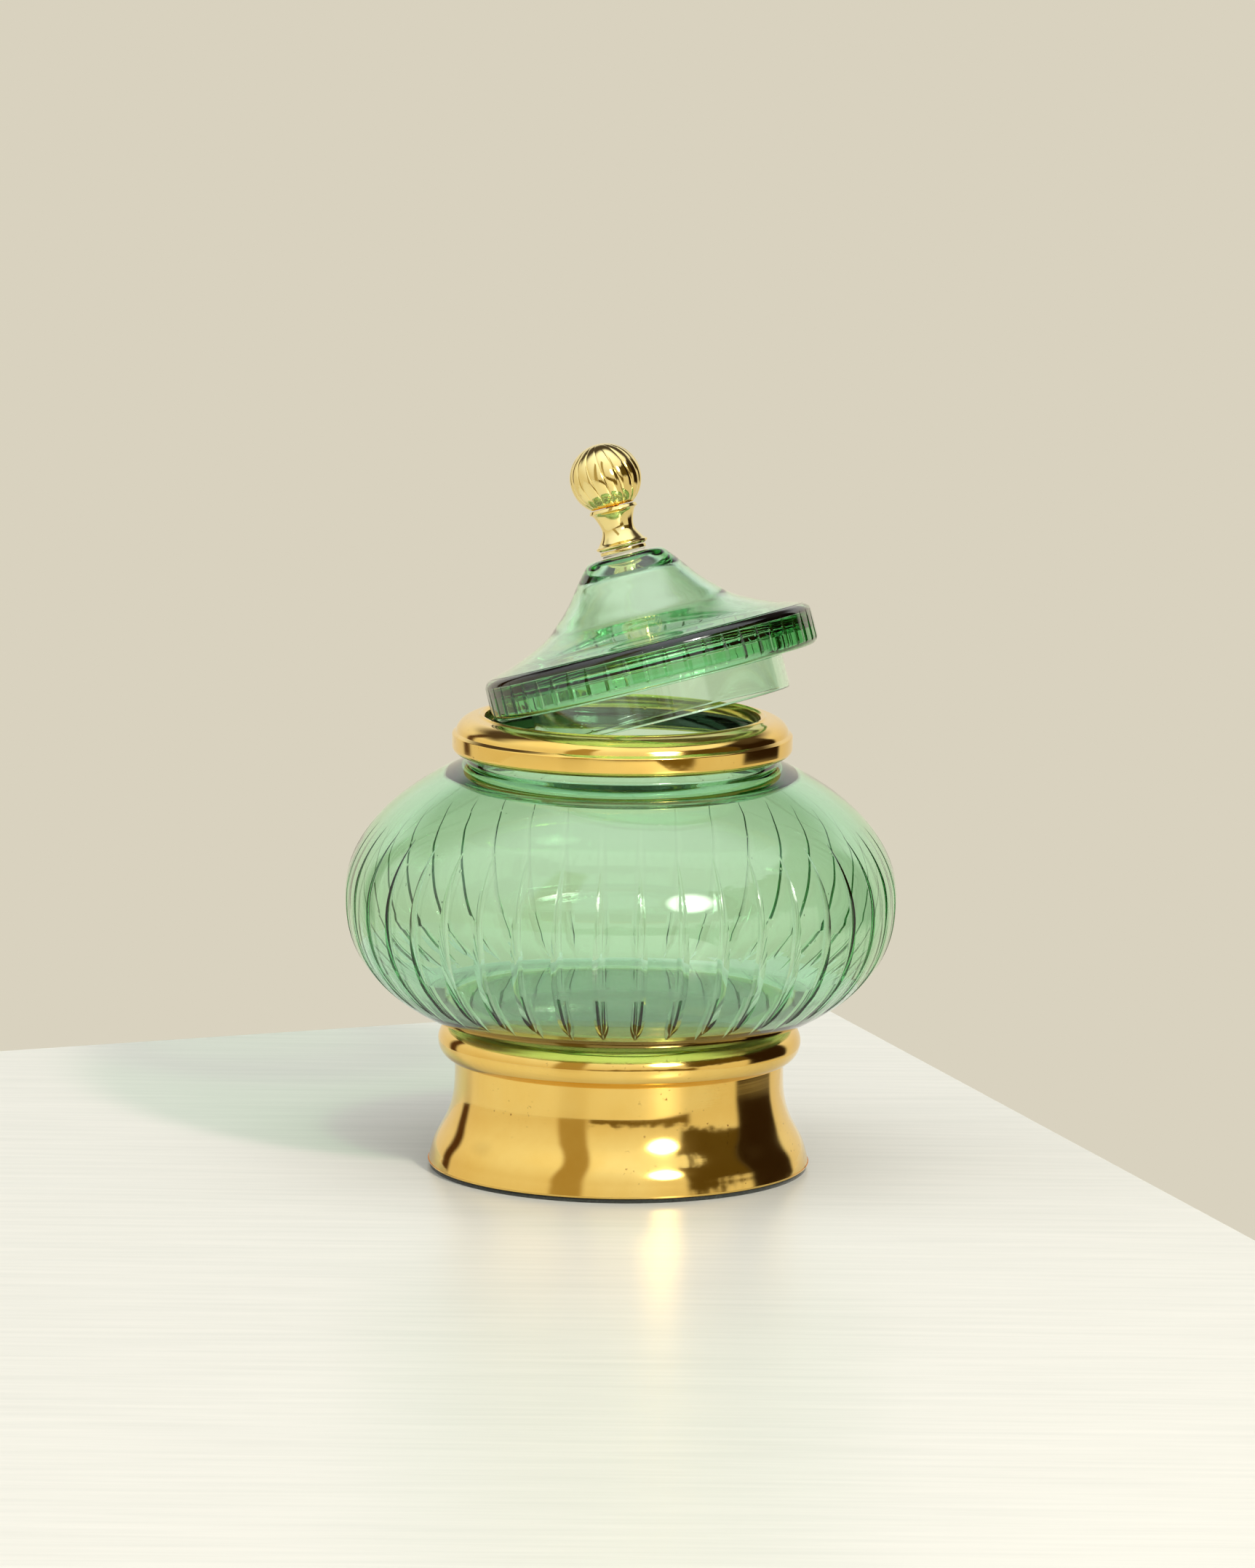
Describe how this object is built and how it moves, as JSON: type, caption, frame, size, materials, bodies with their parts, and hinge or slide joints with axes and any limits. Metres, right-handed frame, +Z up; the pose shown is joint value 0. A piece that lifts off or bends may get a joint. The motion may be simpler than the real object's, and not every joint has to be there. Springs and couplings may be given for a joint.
{
  "type": "footed glass storage jar",
  "caption": "Footed green cut-glass storage jar with a brass foot, a brass rim and a loose tent-shaped glass lid with a brass knob, leaning in the mouth.",
  "frame": {"origin": "middle of the felt's underside, on the surface that the jar stands on", "axes": "+Z up the axis of the bowl; +X towards the side where the leaning lid stands open; -Y is the front"},
  "size_m": [0.1994, 0.2, 0.2639],
  "materials": {
    "glass": "clear sea-green, blown and cut, polished",
    "brass": "polished, spun, lacquered",
    "cement": "matt plaster bedding",
    "bond": "matt clear adhesive",
    "felt": "pressed wool felt",
    "steel": "plain turned stud"
  },
  "bodies": {
    "jar": {"base_felt": "felt", "base_pedestal": "brass", "bowl_cement": "cement", "glass_bowl": "glass", "rim_cement": "cement", "rim_collar": "brass"},
    "lid": {"glass_lid": "glass", "knob_bond": "bond", "knob_foot": "brass", "knob_stem": "brass", "knob_ball": "brass", "knob_stud": "steel"}
  },
  "joints": [
    {"name": "lid_lift", "type": "slide", "parent": "jar", "child": "lid", "axis": [0, 0, 1], "range_m": [0, 0.08]}
  ]
}
